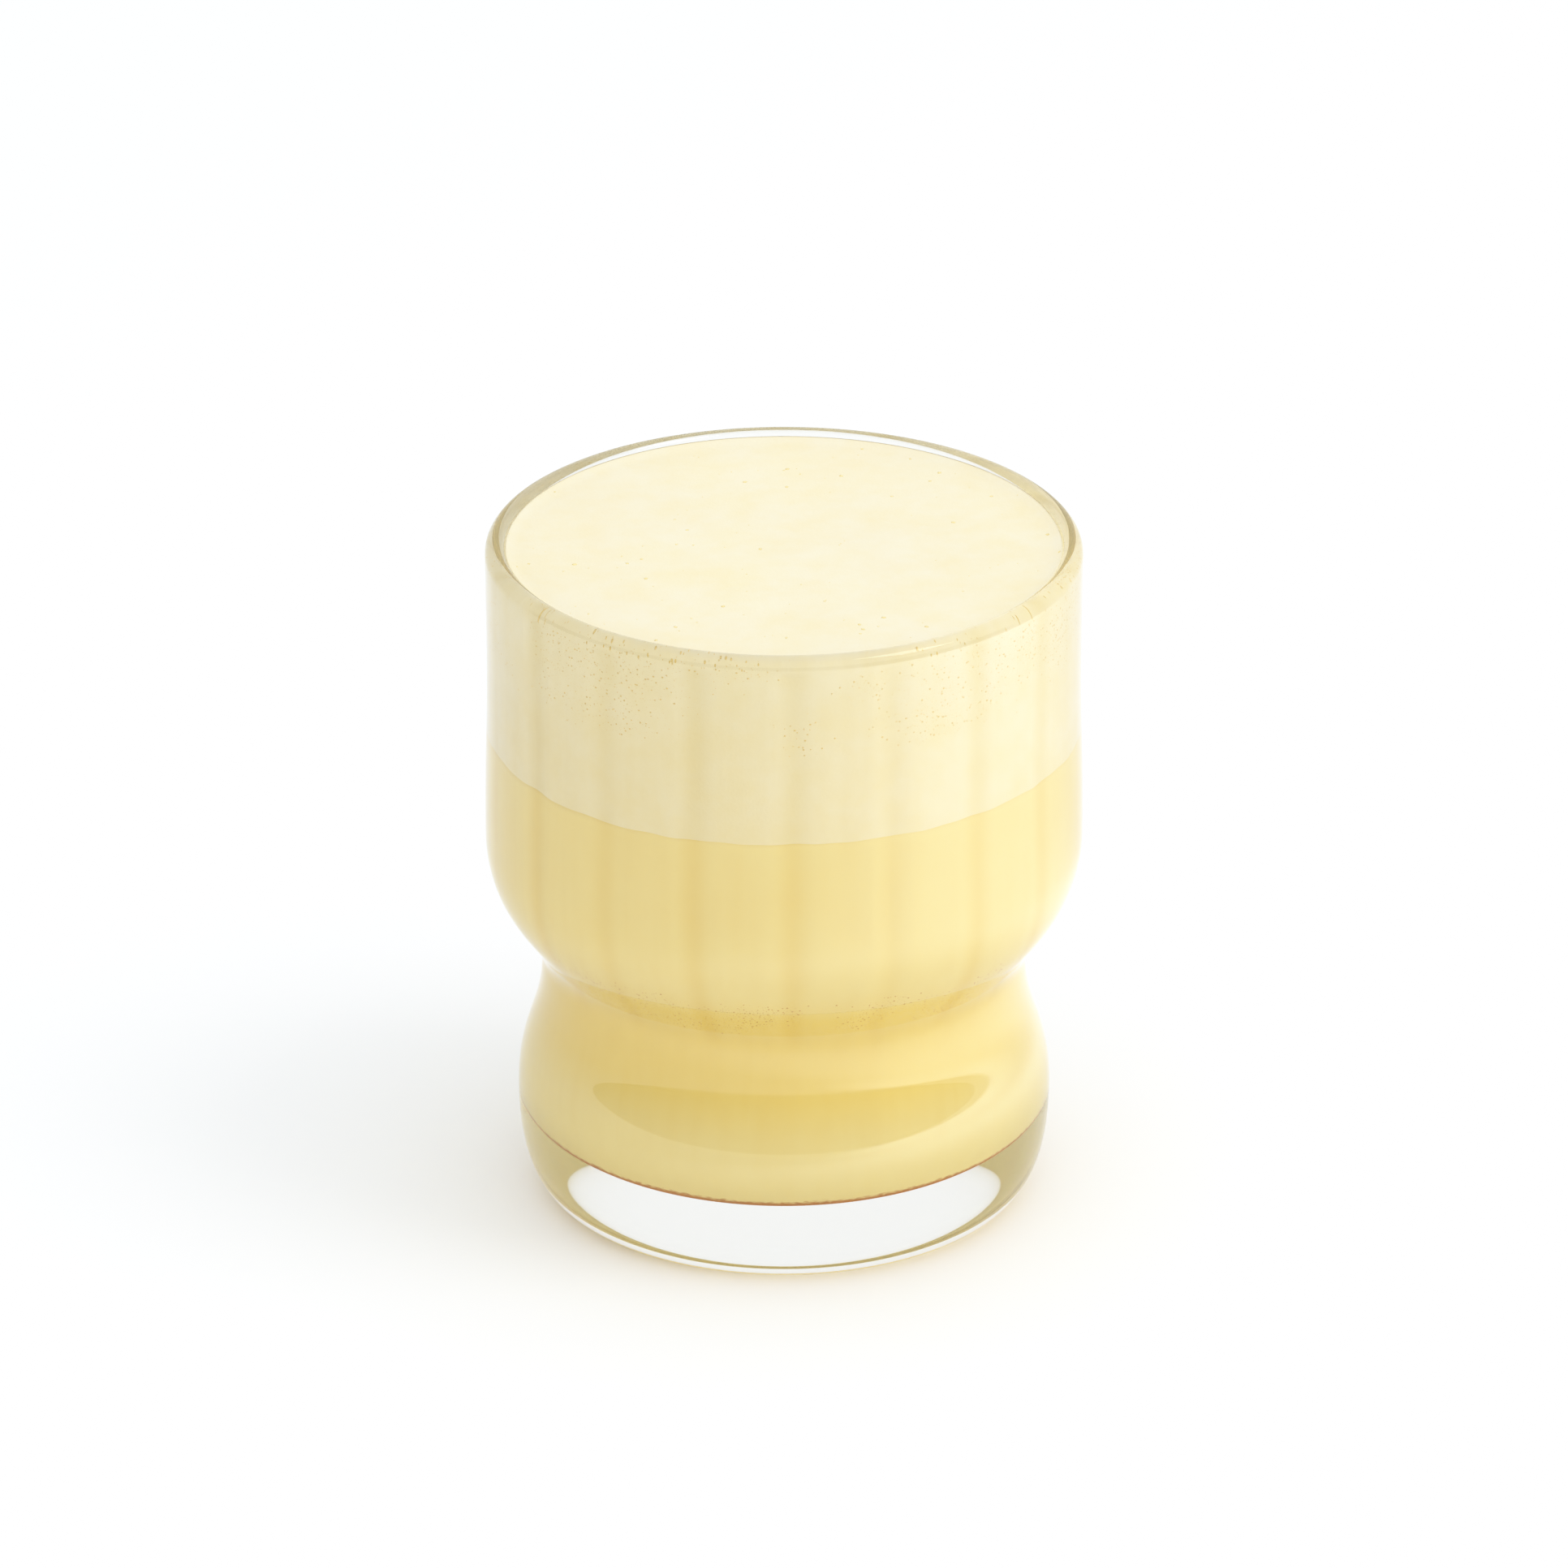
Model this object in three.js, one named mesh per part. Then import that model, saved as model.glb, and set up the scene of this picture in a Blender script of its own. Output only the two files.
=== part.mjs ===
// Golden milk in its waisted tumbler: a ribbed glass with a heavy base, the
// warm milk that fills it, and the thick head of foam on top.
// Units are millimetres, +Z is up and the origin is the centre of the foot.
// Angles round the glass start at the front, -Y, and grow towards +X.

import * as THREE from 'three';

// Overall size of the glass
const GLASS_HEIGHT = 96.2;
const RIM_RADIUS = 41.0;
const LIP_WALL = 3.0;

// Outside of the glass, from the foot up
const FOOT_RADIUS = 32.2;
const FOOT_EDGE_RADIUS = 0.92;
const FLANK_SLOPE = THREE.MathUtils.degToRad(35.6);
const BULGE_RADIUS = 37.0;
const BULGE_LEVEL = 14.4;
const WAIST_RADIUS = 33.6;
const WAIST_LEVEL = 34.0;
const SHOULDER_RADIUS = 41.3;
const SHOULDER_LEVEL = 53.3;
const WALL_RADIUS = 40.9;
const WALL_LEVEL = 79.5;
const LIP_OUTER_ROUND = 1.7;
const LIP_INNER_ROUND = 1.2;

// How far each bend of the outside carries on along the outline
const FLANK_REACH = 4.1;
const BULGE_REACH_DOWN = 6.3;
const BULGE_REACH_UP = 9.1;
const WAIST_REACH_DOWN = 9.1;
const WAIST_REACH_UP = 5.7;
const SHOULDER_REACH_DOWN = 11.7;
const SHOULDER_REACH_UP = 11.8;
const WALL_REACH = 6.0;

// Inside of the glass, from the rim down
const BORE_RADIUS = RIM_RADIUS - LIP_WALL;
const INNER_SHOULDER_RADIUS = 38.2;
const INNER_SHOULDER_LEVEL = 53.5;
const INNER_WAIST_RADIUS = 30.9;
const INNER_WAIST_LEVEL = 34.5;
const INNER_BULGE_RADIUS = 33.0;
const INNER_BULGE_LEVEL = 20.0;
const INNER_FLOOR_RADIUS = 24.5;
const BASE_THICKNESS = 9.5;

// How far each bend of the inside carries on along the outline
const INNER_FLOOR_REACH = 4.7;
const INNER_BULGE_REACH_DOWN = 5.8;
const INNER_BULGE_REACH_UP = 5.5;
const INNER_WAIST_REACH_DOWN = 5.5;
const INNER_WAIST_REACH_UP = 5.0;
const INNER_SHOULDER_REACH_DOWN = 11.5;
const INNER_SHOULDER_REACH_UP = 13.0;
const BORE_REACH_DOWN = 10.0;

// Moulded ribs that run down the inside wall
const RIB_COUNT = 18;
const RIB_HEIGHT = 0.35;
const RIB_HALF_SPREAD = THREE.MathUtils.degToRad(5.2);
const RIB_PHASE = THREE.MathUtils.degToRad(1.8);
const RIB_TOP = 94.2;
const RIB_FULL_BELOW = 92.6;
const RIB_FULL_ABOVE = 38.0;
const RIB_END = 29.0;

// The drink
const MILK_LEVEL = 68.4;
const FOAM_LEVEL = 94.7;
const MENISCUS_RISE = 0.35;
const MENISCUS_WIDTH = 2.0;
const CLEARANCE = 0.3;

// Fineness
const COLUMNS = RIB_COUNT * 5;

const point = (radius, level) => new THREE.Vector2(radius, level);
const upright = (length) => point(0, length);

// One flowing stretch of an outline. It leaves `from` along `fromPull` and arrives
// at `to` along `toPull`; both pulls are vectors that point up the outline.
function flow(from, fromPull, to, toPull, steps) {
  const leave = from.clone().add(fromPull);
  const arrive = to.clone().sub(toPull);
  return new THREE.CubicBezierCurve(from, leave, arrive, to).getPoints(steps);
}

// Round stretch about a centre, from one angle to another in degrees.
function round(centre, radius, fromDegrees, toDegrees, steps) {
  const start = THREE.MathUtils.degToRad(fromDegrees);
  const end = THREE.MathUtils.degToRad(toDegrees);
  const clockwise = end < start;
  const arc = new THREE.EllipseCurve(centre.x, centre.y, radius, radius, start, end, clockwise);
  return arc.getPoints(steps);
}

// Joins stretches end to end and drops the points that they share.
function chain(...stretches) {
  const outline = [];
  for (const next of stretches.flat()) {
    const last = outline[outline.length - 1];
    if (!last || last.distanceTo(next) > 1e-6) outline.push(next);
  }
  return outline;
}

// Outside outline, from the centre of the foot to the crown of the lip.
function outsideOutline() {
  const footEdge = point(FOOT_RADIUS, FOOT_EDGE_RADIUS);
  const flankDegrees = THREE.MathUtils.radToDeg(FLANK_SLOPE);
  const foot = round(footEdge, FOOT_EDGE_RADIUS, -90, -90 + flankDegrees, 2);
  const flankStart = foot[foot.length - 1];
  const flankPull = point(Math.cos(FLANK_SLOPE), Math.sin(FLANK_SLOPE)).multiplyScalar(FLANK_REACH);
  const bulge = point(BULGE_RADIUS, BULGE_LEVEL);
  const waist = point(WAIST_RADIUS, WAIST_LEVEL);
  const shoulder = point(SHOULDER_RADIUS, SHOULDER_LEVEL);
  const wall = point(WALL_RADIUS, WALL_LEVEL);
  const lipCentre = point(RIM_RADIUS - LIP_OUTER_ROUND, GLASS_HEIGHT - LIP_OUTER_ROUND);
  const rim = point(RIM_RADIUS, lipCentre.y);
  return chain(
    [point(0, 0)],
    foot,
    flow(flankStart, flankPull, bulge, upright(BULGE_REACH_DOWN), 4),
    flow(bulge, upright(BULGE_REACH_UP), waist, upright(WAIST_REACH_DOWN), 6),
    flow(waist, upright(WAIST_REACH_UP), shoulder, upright(SHOULDER_REACH_DOWN), 7),
    flow(shoulder, upright(SHOULDER_REACH_UP), wall, upright(SHOULDER_REACH_UP), 2),
    flow(wall, upright(WALL_REACH), rim, upright(WALL_REACH), 1),
    round(lipCentre, LIP_OUTER_ROUND, 0, 90, 3),
  );
}

// Inside outline, from the centre of the well up to the crown of the lip.
function insideOutline() {
  const floorEdge = point(INNER_FLOOR_RADIUS, BASE_THICKNESS);
  const bulge = point(INNER_BULGE_RADIUS, INNER_BULGE_LEVEL);
  const waist = point(INNER_WAIST_RADIUS, INNER_WAIST_LEVEL);
  const shoulder = point(INNER_SHOULDER_RADIUS, INNER_SHOULDER_LEVEL);
  const ribsFull = point(BORE_RADIUS, RIB_FULL_BELOW);
  const ribsStart = point(BORE_RADIUS, RIB_TOP);
  const lipCentre = point(BORE_RADIUS + LIP_INNER_ROUND, GLASS_HEIGHT - LIP_INNER_ROUND);
  return chain(
    [point(0, BASE_THICKNESS)],
    flow(floorEdge, point(INNER_FLOOR_REACH, 0), bulge, upright(INNER_BULGE_REACH_DOWN), 5),
    flow(bulge, upright(INNER_BULGE_REACH_UP), waist, upright(INNER_WAIST_REACH_DOWN), 4),
    flow(waist, upright(INNER_WAIST_REACH_UP), shoulder, upright(INNER_SHOULDER_REACH_DOWN), 6),
    flow(shoulder, upright(INNER_SHOULDER_REACH_UP), ribsFull, upright(BORE_REACH_DOWN), 2),
    [ribsStart],
    round(lipCentre, LIP_INNER_ROUND, 180, 90, 3),
  );
}

// How far the ribs stand in from the plain wall at an angle and a level.
function ribRise(angle, level) {
  const pitch = (2 * Math.PI) / RIB_COUNT;
  const turns = (angle - RIB_PHASE) / pitch;
  const offset = Math.abs(turns - Math.round(turns)) * pitch;
  if (offset >= RIB_HALF_SPREAD) return 0;
  const across = 0.5 * (1 + Math.cos((Math.PI * offset) / RIB_HALF_SPREAD));
  const above = 1 - THREE.MathUtils.smoothstep(level, RIB_FULL_BELOW, RIB_TOP);
  const below = THREE.MathUtils.smoothstep(level, RIB_END, RIB_FULL_ABOVE);
  return RIB_HEIGHT * across * above * below;
}

// Turns an outline round the upright axis. Where `ribbed(index)` holds, the point
// of that index on the outline is pressed in by the ribs.
function turn(outline, ribbed) {
  const geometry = new THREE.LatheGeometry(outline, COLUMNS, RIB_PHASE);
  geometry.rotateX(Math.PI / 2);
  const places = geometry.getAttribute('position');
  for (let i = 0; i < places.count; i += 1) {
    if (!ribbed(i % outline.length)) continue;
    const radius = Math.hypot(places.getX(i), places.getY(i));
    const angle = Math.atan2(places.getX(i), -places.getY(i));
    const scale = 1 - ribRise(angle, places.getZ(i)) / radius;
    places.setX(i, places.getX(i) * scale);
    places.setY(i, places.getY(i) * scale);
  }
  geometry.computeVertexNormals();
  return geometry;
}

// Outline of what fills the glass: the inside outline moved in by the clearance,
// from the centre of its underside up to the lip.
function fillOutline() {
  const wall = insideOutline();
  return wall.map((place, i) => {
    const before = wall[Math.max(i - 1, 0)];
    const after = wall[Math.min(i + 1, wall.length - 1)];
    const along = after.clone().sub(before).normalize();
    return point(Math.max(place.x - along.y * CLEARANCE, 0), place.y + along.x * CLEARANCE);
  });
}

// Radius of the fill at a level, read off the stretch that crosses it.
function fillRadius(fill, level) {
  const above = fill.findIndex((place, i) => i > 1 && place.y >= level);
  const high = fill[above];
  const low = fill[above - 1];
  return THREE.MathUtils.mapLinear(level, low.y, high.y, low.x, high.x);
}

// The points of the fill that lie clearly between two levels.
function fillBetween(fill, bottom, top) {
  return fill.filter((place) => place.y > bottom + CLEARANCE && place.y < top - CLEARANCE);
}

// Marks the points of an outline that lie on the wall, where the ribs are.
const onWall = (outline) => (index) => outline[index].x > 0.5 * INNER_WAIST_RADIUS;

function glassGeometry() {
  const inside = insideOutline().reverse();
  const outline = chain(outsideOutline(), inside);
  const firstInside = outline.length - inside.length;
  const wall = onWall(outline);
  return turn(outline, (index) => index >= firstInside && wall(index));
}

function milkGeometry() {
  const surface = MILK_LEVEL - CLEARANCE / 2;
  const fill = fillOutline();
  const outline = chain(
    fillBetween(fill, 0, surface),
    [point(fillRadius(fill, surface), surface), point(0, surface)],
  );
  return turn(outline, onWall(outline));
}

function foamGeometry() {
  const underside = MILK_LEVEL + CLEARANCE / 2;
  const fill = fillOutline();
  const edge = fillRadius(fill, FOAM_LEVEL);
  const outline = chain(
    [point(0, underside), point(fillRadius(fill, underside), underside)],
    fillBetween(fill, underside, FOAM_LEVEL),
    [point(edge, FOAM_LEVEL + MENISCUS_RISE)],
    [point(edge - MENISCUS_WIDTH / 2, FOAM_LEVEL + MENISCUS_RISE / 4)],
    [point(edge - MENISCUS_WIDTH, FOAM_LEVEL), point(0, FOAM_LEVEL)],
  );
  return turn(outline, onWall(outline));
}

// A named sub-part with its colour and finish.
function piece(name, geometry, look) {
  const mesh = new THREE.Mesh(geometry, new THREE.MeshStandardMaterial(look));
  mesh.name = name;
  return mesh;
}

const goldenMilk = new THREE.Group();
goldenMilk.add(
  piece('glass', glassGeometry(), { color: 0xf1f2ea, roughness: 0.03, metalness: 0 }),
  piece('milk', milkGeometry(), { color: 0xecd893, roughness: 0.35, metalness: 0 }),
  piece('foam', foamGeometry(), { color: 0xfdf6da, roughness: 0.75, metalness: 0 }),
);

export default goldenMilk;
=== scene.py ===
"""Golden milk in a waisted tumbler: the looks of the glass, the milk, its foam and the spice in them.

Sizes of the drink are in millimetres and become metres in the meshes. Angles round the glass
start at the front, -Y, and grow towards +X. A level is a height above the foot.
"""

import logging
import math
from dataclasses import dataclass, field
from enum import Enum
from typing import Any, Callable

import bpy
import numpy as np
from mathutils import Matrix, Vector


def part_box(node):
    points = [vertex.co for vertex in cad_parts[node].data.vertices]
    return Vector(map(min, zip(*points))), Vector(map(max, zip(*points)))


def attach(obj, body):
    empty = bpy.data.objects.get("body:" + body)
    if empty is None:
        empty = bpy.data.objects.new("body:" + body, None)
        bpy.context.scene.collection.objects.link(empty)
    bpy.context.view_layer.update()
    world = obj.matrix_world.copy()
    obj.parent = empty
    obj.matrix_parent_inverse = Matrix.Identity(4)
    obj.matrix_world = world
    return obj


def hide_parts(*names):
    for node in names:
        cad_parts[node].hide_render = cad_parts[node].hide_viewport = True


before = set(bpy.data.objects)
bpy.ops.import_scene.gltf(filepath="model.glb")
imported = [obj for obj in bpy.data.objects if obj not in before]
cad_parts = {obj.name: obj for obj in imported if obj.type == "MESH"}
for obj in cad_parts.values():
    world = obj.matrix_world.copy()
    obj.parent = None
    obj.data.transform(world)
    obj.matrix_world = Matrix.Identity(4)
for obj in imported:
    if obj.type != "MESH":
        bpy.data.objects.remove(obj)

MM = 0.001
RIBBED = "ribbed"
RIB_SHARE = "rib_share"
SAME_POINT = 1e-6
LOG = logging.getLogger("golden_milk")

Point = tuple[float, float]
Lift = Callable[[np.ndarray, np.ndarray, np.ndarray], np.ndarray]


class Part(Enum):
    """The nodes of the frame that the pieces stand for."""

    GLASS = "glass"
    MILK = "milk"
    FOAM = "foam"


class Slot(Enum):
    """The record's material slots."""

    GLASS = "clear_glass"
    MILK = "golden_milk"
    FOAM = "milk_foam"


class Facing(Enum):
    """Which faces carry specks, as the least and the most upward part of their normal."""

    TOP = (0.8, 1.1)
    WALL = (-0.6, 0.6)


def srgb(colour: str) -> tuple[float, float, float, float]:
    """Turns an sRGB hex colour into linear light.

    Args:
        colour: Six hex digits after a hash sign.

    Returns:
        Red, green, blue and an alpha of 1.
    """
    parts = [int(colour[i : i + 2], 16) / 255 for i in (1, 3, 5)]
    linear = [p / 12.92 if p <= 0.04045 else ((p + 0.055) / 1.055) ** 2.4 for p in parts]
    return (*linear, 1.0)


def add_node(
    tree: bpy.types.NodeTree,
    kind: str,
    wires: dict[Any, bpy.types.NodeSocket] | None = None,
    values: dict[Any, Any] | None = None,
    **settings: Any,
) -> bpy.types.Node:
    """Adds a node with its settings and links.

    Args:
        tree: The tree that gets the node.
        kind: Blender's name for the type of node.
        wires: For an input's name or index, the output that feeds it.
        values: For an input's name or index, its value.
        **settings: Properties of the node, such as operation.

    Returns:
        The new node.
    """
    node = tree.nodes.new(kind)
    for name, value in settings.items():
        setattr(node, name, value)
    for socket, value in (values or {}).items():
        node.inputs[socket].default_value = value
    for socket, source in (wires or {}).items():
        tree.links.new(source, node.inputs[socket])
    return node


def add_math(tree: bpy.types.NodeTree, operation: str, *terms: Any) -> bpy.types.NodeSocket:
    """Adds one step of arithmetic.

    Args:
        tree: The tree that gets the node.
        operation: The Math node's operation.
        *terms: Numbers, or outputs of other nodes, in the order of the inputs.

    Returns:
        The result's socket.
    """
    wires = {i: t for i, t in enumerate(terms) if isinstance(t, bpy.types.NodeSocket)}
    values = {i: t for i, t in enumerate(terms) if not isinstance(t, bpy.types.NodeSocket)}
    return add_node(tree, "ShaderNodeMath", wires, values, operation=operation).outputs[0]


def flow(start: Point, leave: Point, end: Point, arrive: Point, steps: int) -> np.ndarray:
    """Draws one flowing stretch of an outline.

    Args:
        start: Where it begins.
        leave: How it leaves, as a pull up the outline.
        end: Where it ends.
        arrive: How it arrives, as a pull up the outline.
        steps: Number of steps.

    Returns:
        The points from start to end.
    """
    a, d = np.array(start), np.array(end)
    b, c = a + np.array(leave), d - np.array(arrive)
    t = np.linspace(0, 1, steps + 1)[:, None]
    return (1 - t) ** 3 * a + 3 * (1 - t) ** 2 * t * b + 3 * (1 - t) * t**2 * c + t**3 * d


def bend(centre: Point, radius: float, first: float, last: float, steps: int) -> np.ndarray:
    """Draws a round stretch about a centre, between two angles in degrees."""
    turn = np.radians(np.linspace(first, last, steps + 1))
    return np.stack([centre[0] + radius * np.cos(turn), centre[1] + radius * np.sin(turn)], 1)


def chain(*stretches: Any) -> np.ndarray:
    """Joins stretches end to end and drops the points that they share.

    Args:
        *stretches: Single points or rows of points, in order.

    Returns:
        The points of the whole outline.
    """
    points = np.concatenate([np.atleast_2d(np.array(s, float)) for s in stretches])
    steps = np.linalg.norm(np.diff(points, axis=0), axis=1)
    return points[np.concatenate([[True], steps > SAME_POINT])]


def turn_outline(
    name: str,
    outline: np.ndarray,
    columns: int,
    ribbed: np.ndarray,
    lift: Lift | None = None,
) -> bpy.types.Object:
    """Turns an outline round the upright axis into a closed mesh that faces outwards.

    Args:
        name: Name of the piece.
        outline: Radius and level of each point in millimetres, from axis to axis, with
            the solid on its left.
        columns: Number of columns round the axis.
        ribbed: For each point, whether the glass's ribs press into it there.
        lift: Gives a rise in millimetres from radius, level and angle, or None.

    Returns:
        The new object, with its place in its mesh.
    """
    rings = outline[1:-1]
    angle = np.arange(columns) * 2 * np.pi / columns
    radius = np.repeat(rings[:, :1], columns, 1)
    level = np.repeat(rings[:, 1:], columns, 1)
    around = np.repeat(angle[None, :], len(rings), 0)
    if lift is not None:
        level = level + lift(radius, level, around)
    walls = np.stack([radius * np.sin(around), -radius * np.cos(around), level], 2).reshape(-1, 3)
    places = np.concatenate([walls, [[0, 0, outline[0, 1]]], [[0, 0, outline[-1, 1]]]]) * MM
    first, last = len(walls), len(walls) + 1
    here = np.arange(columns)
    after = (here + 1) % columns
    faces: list[tuple[int, ...]] = []
    for ring in range(len(rings) - 1):
        low, high = ring * columns, (ring + 1) * columns
        faces += zip(low + here, low + after, high + after, high + here)
    top = (len(rings) - 1) * columns
    faces += zip([first] * columns, after, here)
    faces += zip([last] * columns, top + here, top + after)
    mesh = bpy.data.meshes.new(name)
    mesh.from_pydata(places.tolist(), [], [tuple(int(i) for i in f) for f in faces])
    mask = np.concatenate([np.repeat(ribbed[1:-1].astype(np.float32), columns), [0, 0]])
    mesh.attributes.new(RIBBED, "FLOAT", "POINT").data.foreach_set("value", mask.astype(np.float32))
    mesh.update()
    piece = bpy.data.objects.new(name, mesh)
    bpy.context.scene.collection.objects.link(piece)
    return piece


def bake_tree(
    piece: bpy.types.Object, tree: bpy.types.GeometryNodeTree, values: dict[str, Any]
) -> bpy.types.Object:
    """Runs a geometry tree on a piece and keeps the result as its plain mesh.

    Args:
        piece: The piece, whose mesh is replaced.
        tree: The tree, with named inputs.
        values: For each named input, its value.

    Returns:
        The same piece, with no modifier left.
    """
    modifier = piece.modifiers.new(tree.name, "NODES")
    modifier.node_group = tree
    for item in tree.interface.items_tree:
        if item.in_out == "INPUT" and item.name in values:
            modifier[item.identifier] = values[item.name]
    depsgraph = bpy.context.evaluated_depsgraph_get()
    mesh = bpy.data.meshes.new_from_object(
        piece.evaluated_get(depsgraph), preserve_all_data_layers=True, depsgraph=depsgraph
    )
    piece.modifiers.remove(modifier)
    before = piece.data
    piece.data = mesh
    bpy.data.meshes.remove(before)
    mesh.name = piece.name
    mesh.shade_smooth()
    return piece


def new_tree(name: str, inputs: dict[str, str]) -> tuple[bpy.types.GeometryNodeTree, dict[str, Any]]:
    """Starts a geometry tree with a mesh input and the named inputs given.

    Args:
        name: Name of the tree.
        inputs: For each named input, the short name of its socket type.

    Returns:
        The tree, and for each input the socket that gives its value.
    """
    tree = bpy.data.node_groups.new(name, "GeometryNodeTree")
    for label, kind in {"Geometry": "Geometry", **inputs}.items():
        tree.interface.new_socket(name=label, in_out="INPUT", socket_type="NodeSocket" + kind)
    tree.interface.new_socket(name="Geometry", in_out="OUTPUT", socket_type="NodeSocketGeometry")
    start = add_node(tree, "NodeGroupInput")
    return tree, {socket.name: socket for socket in start.outputs if socket.name}


def close_tree(
    tree: bpy.types.GeometryNodeTree, shape: bpy.types.NodeSocket, finish: bpy.types.NodeSocket
) -> None:
    """Ends a geometry tree: realizes what it placed, sets the finish and gives the result.

    Args:
        tree: The tree to end.
        shape: The output that holds the finished shape.
        finish: The output that holds its material.
    """
    real = add_node(tree, "GeometryNodeRealizeInstances", {0: shape})
    dressed = add_node(tree, "GeometryNodeSetMaterial", {"Geometry": real.outputs[0], "Material": finish})
    add_node(tree, "NodeGroupOutput", {0: dressed.outputs[0]})


@dataclass(frozen=True)
class RibMould:
    """The upright ribs moulded inside the wall, which also press into what fills the glass.

    Levels and sizes are in millimetres, and angles in radians.
    """

    count: int = 18
    height: float = 0.35
    half_spread: float = math.radians(5.2)
    phase: float = math.radians(1.8)
    start: float = 94.2
    full_below: float = 92.6
    full_above: float = 38.0
    end: float = 29.0
    wander: float = math.radians(1.6)
    wander_size: float = 30.0
    unevenness: float = 0.5

    def tree(self) -> bpy.types.GeometryNodeTree:
        """Builds the tree that presses the ribs towards the axis where the mask allows.

        Returns:
            The geometry tree.
        """
        names = ("Count", "Height", "Half Spread", "Phase", "Start", "Full Below", "Full Above")
        names += ("End", "Wander", "Wander Scale", "Unevenness")
        tree, given = new_tree("moulded_ribs", {**dict.fromkeys(names, "Float"), "Finish": "Material"})
        place = add_node(tree, "GeometryNodeInputPosition").outputs[0]
        axes = add_node(tree, "ShaderNodeSeparateXYZ", {0: place}).outputs
        front = add_math(tree, "MULTIPLY", axes["Y"], -1.0)
        angle = add_math(tree, "ARCTAN2", axes["X"], front)
        cloud = add_node(tree, "ShaderNodeTexNoise", {"Vector": place, "Scale": given["Wander Scale"]})
        drift = add_math(tree, "SUBTRACT", cloud.outputs[0], 0.5)
        drift = add_math(tree, "MULTIPLY", drift, given["Wander"])
        shifted = add_math(tree, "ADD", add_math(tree, "SUBTRACT", angle, given["Phase"]), drift)
        pitch = add_math(tree, "DIVIDE", 2 * math.pi, given["Count"])
        turns = add_math(tree, "DIVIDE", shifted, pitch)
        nearest = add_math(tree, "ROUND", turns)
        offset = add_math(tree, "ABSOLUTE", add_math(tree, "SUBTRACT", turns, nearest))
        offset = add_math(tree, "MULTIPLY", offset, pitch)
        limits = {"To Min": 1.0, "To Max": 0.0}
        across = add_node(
            tree, "ShaderNodeMapRange", {"Value": offset, "From Max": given["Half Spread"]}, limits,
            interpolation_type="SMOOTHSTEP",
        )
        above = add_node(
            tree, "ShaderNodeMapRange",
            {"Value": axes["Z"], "From Min": given["Full Below"], "From Max": given["Start"]}, limits,
            interpolation_type="SMOOTHSTEP",
        )
        below = add_node(
            tree, "ShaderNodeMapRange",
            {"Value": axes["Z"], "From Min": given["End"], "From Max": given["Full Above"]},
            interpolation_type="SMOOTHSTEP",
        )
        wrapped = add_math(tree, "WRAP", nearest, given["Count"], 0.0)
        chance = add_node(tree, "ShaderNodeTexWhiteNoise", {"W": wrapped}, noise_dimensions="1D")
        uneven = add_math(tree, "SUBTRACT", chance.outputs["Value"], 0.5)
        uneven = add_math(tree, "MULTIPLY_ADD", uneven, given["Unevenness"], 1.0)
        mask = add_node(tree, "GeometryNodeInputNamedAttribute", values={"Name": RIBBED})
        share = add_math(tree, "MULTIPLY", across.outputs[0], above.outputs[0])
        share = add_math(tree, "MULTIPLY", share, below.outputs[0])
        share = add_math(tree, "MULTIPLY", share, uneven)
        share = add_math(tree, "MULTIPLY", share, mask.outputs["Attribute"])
        rise = add_math(tree, "MULTIPLY", share, given["Height"])
        out = add_node(tree, "ShaderNodeCombineXYZ", {"X": axes["X"], "Y": axes["Y"]}).outputs[0]
        unit = add_node(tree, "ShaderNodeVectorMath", {0: out}, operation="NORMALIZE").outputs[0]
        inward = add_math(tree, "MULTIPLY", rise, -1.0)
        push = add_node(
            tree, "ShaderNodeVectorMath", {0: unit, "Scale": inward}, operation="SCALE"
        ).outputs[0]
        pressed = add_node(
            tree, "GeometryNodeSetPosition", {"Geometry": given["Geometry"], "Offset": push}
        )
        kept = add_node(
            tree, "GeometryNodeStoreNamedAttribute", {"Geometry": pressed.outputs[0], "Value": share},
            {"Name": RIB_SHARE}, data_type="FLOAT", domain="POINT",
        )
        close_tree(tree, kept.outputs[0], given["Finish"])
        return tree

    def press(self, piece: bpy.types.Object, finish: bpy.types.Material) -> bpy.types.Object:
        """Presses the ribs into a piece and gives it its finish.

        Args:
            piece: The glass, or what fills it.
            finish: The piece's material.

        Returns:
            The same piece.
        """
        tree = bpy.data.node_groups.get("moulded_ribs") or self.tree()
        values = {
            "Count": float(self.count),
            "Height": self.height * MM,
            "Half Spread": self.half_spread,
            "Phase": self.phase,
            "Start": self.start * MM,
            "Full Below": self.full_below * MM,
            "Full Above": self.full_above * MM,
            "End": self.end * MM,
            "Wander": self.wander,
            "Wander Scale": 1 / (self.wander_size * MM),
            "Unevenness": self.unevenness,
            "Finish": finish,
        }
        return bake_tree(piece, tree, values)


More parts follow.
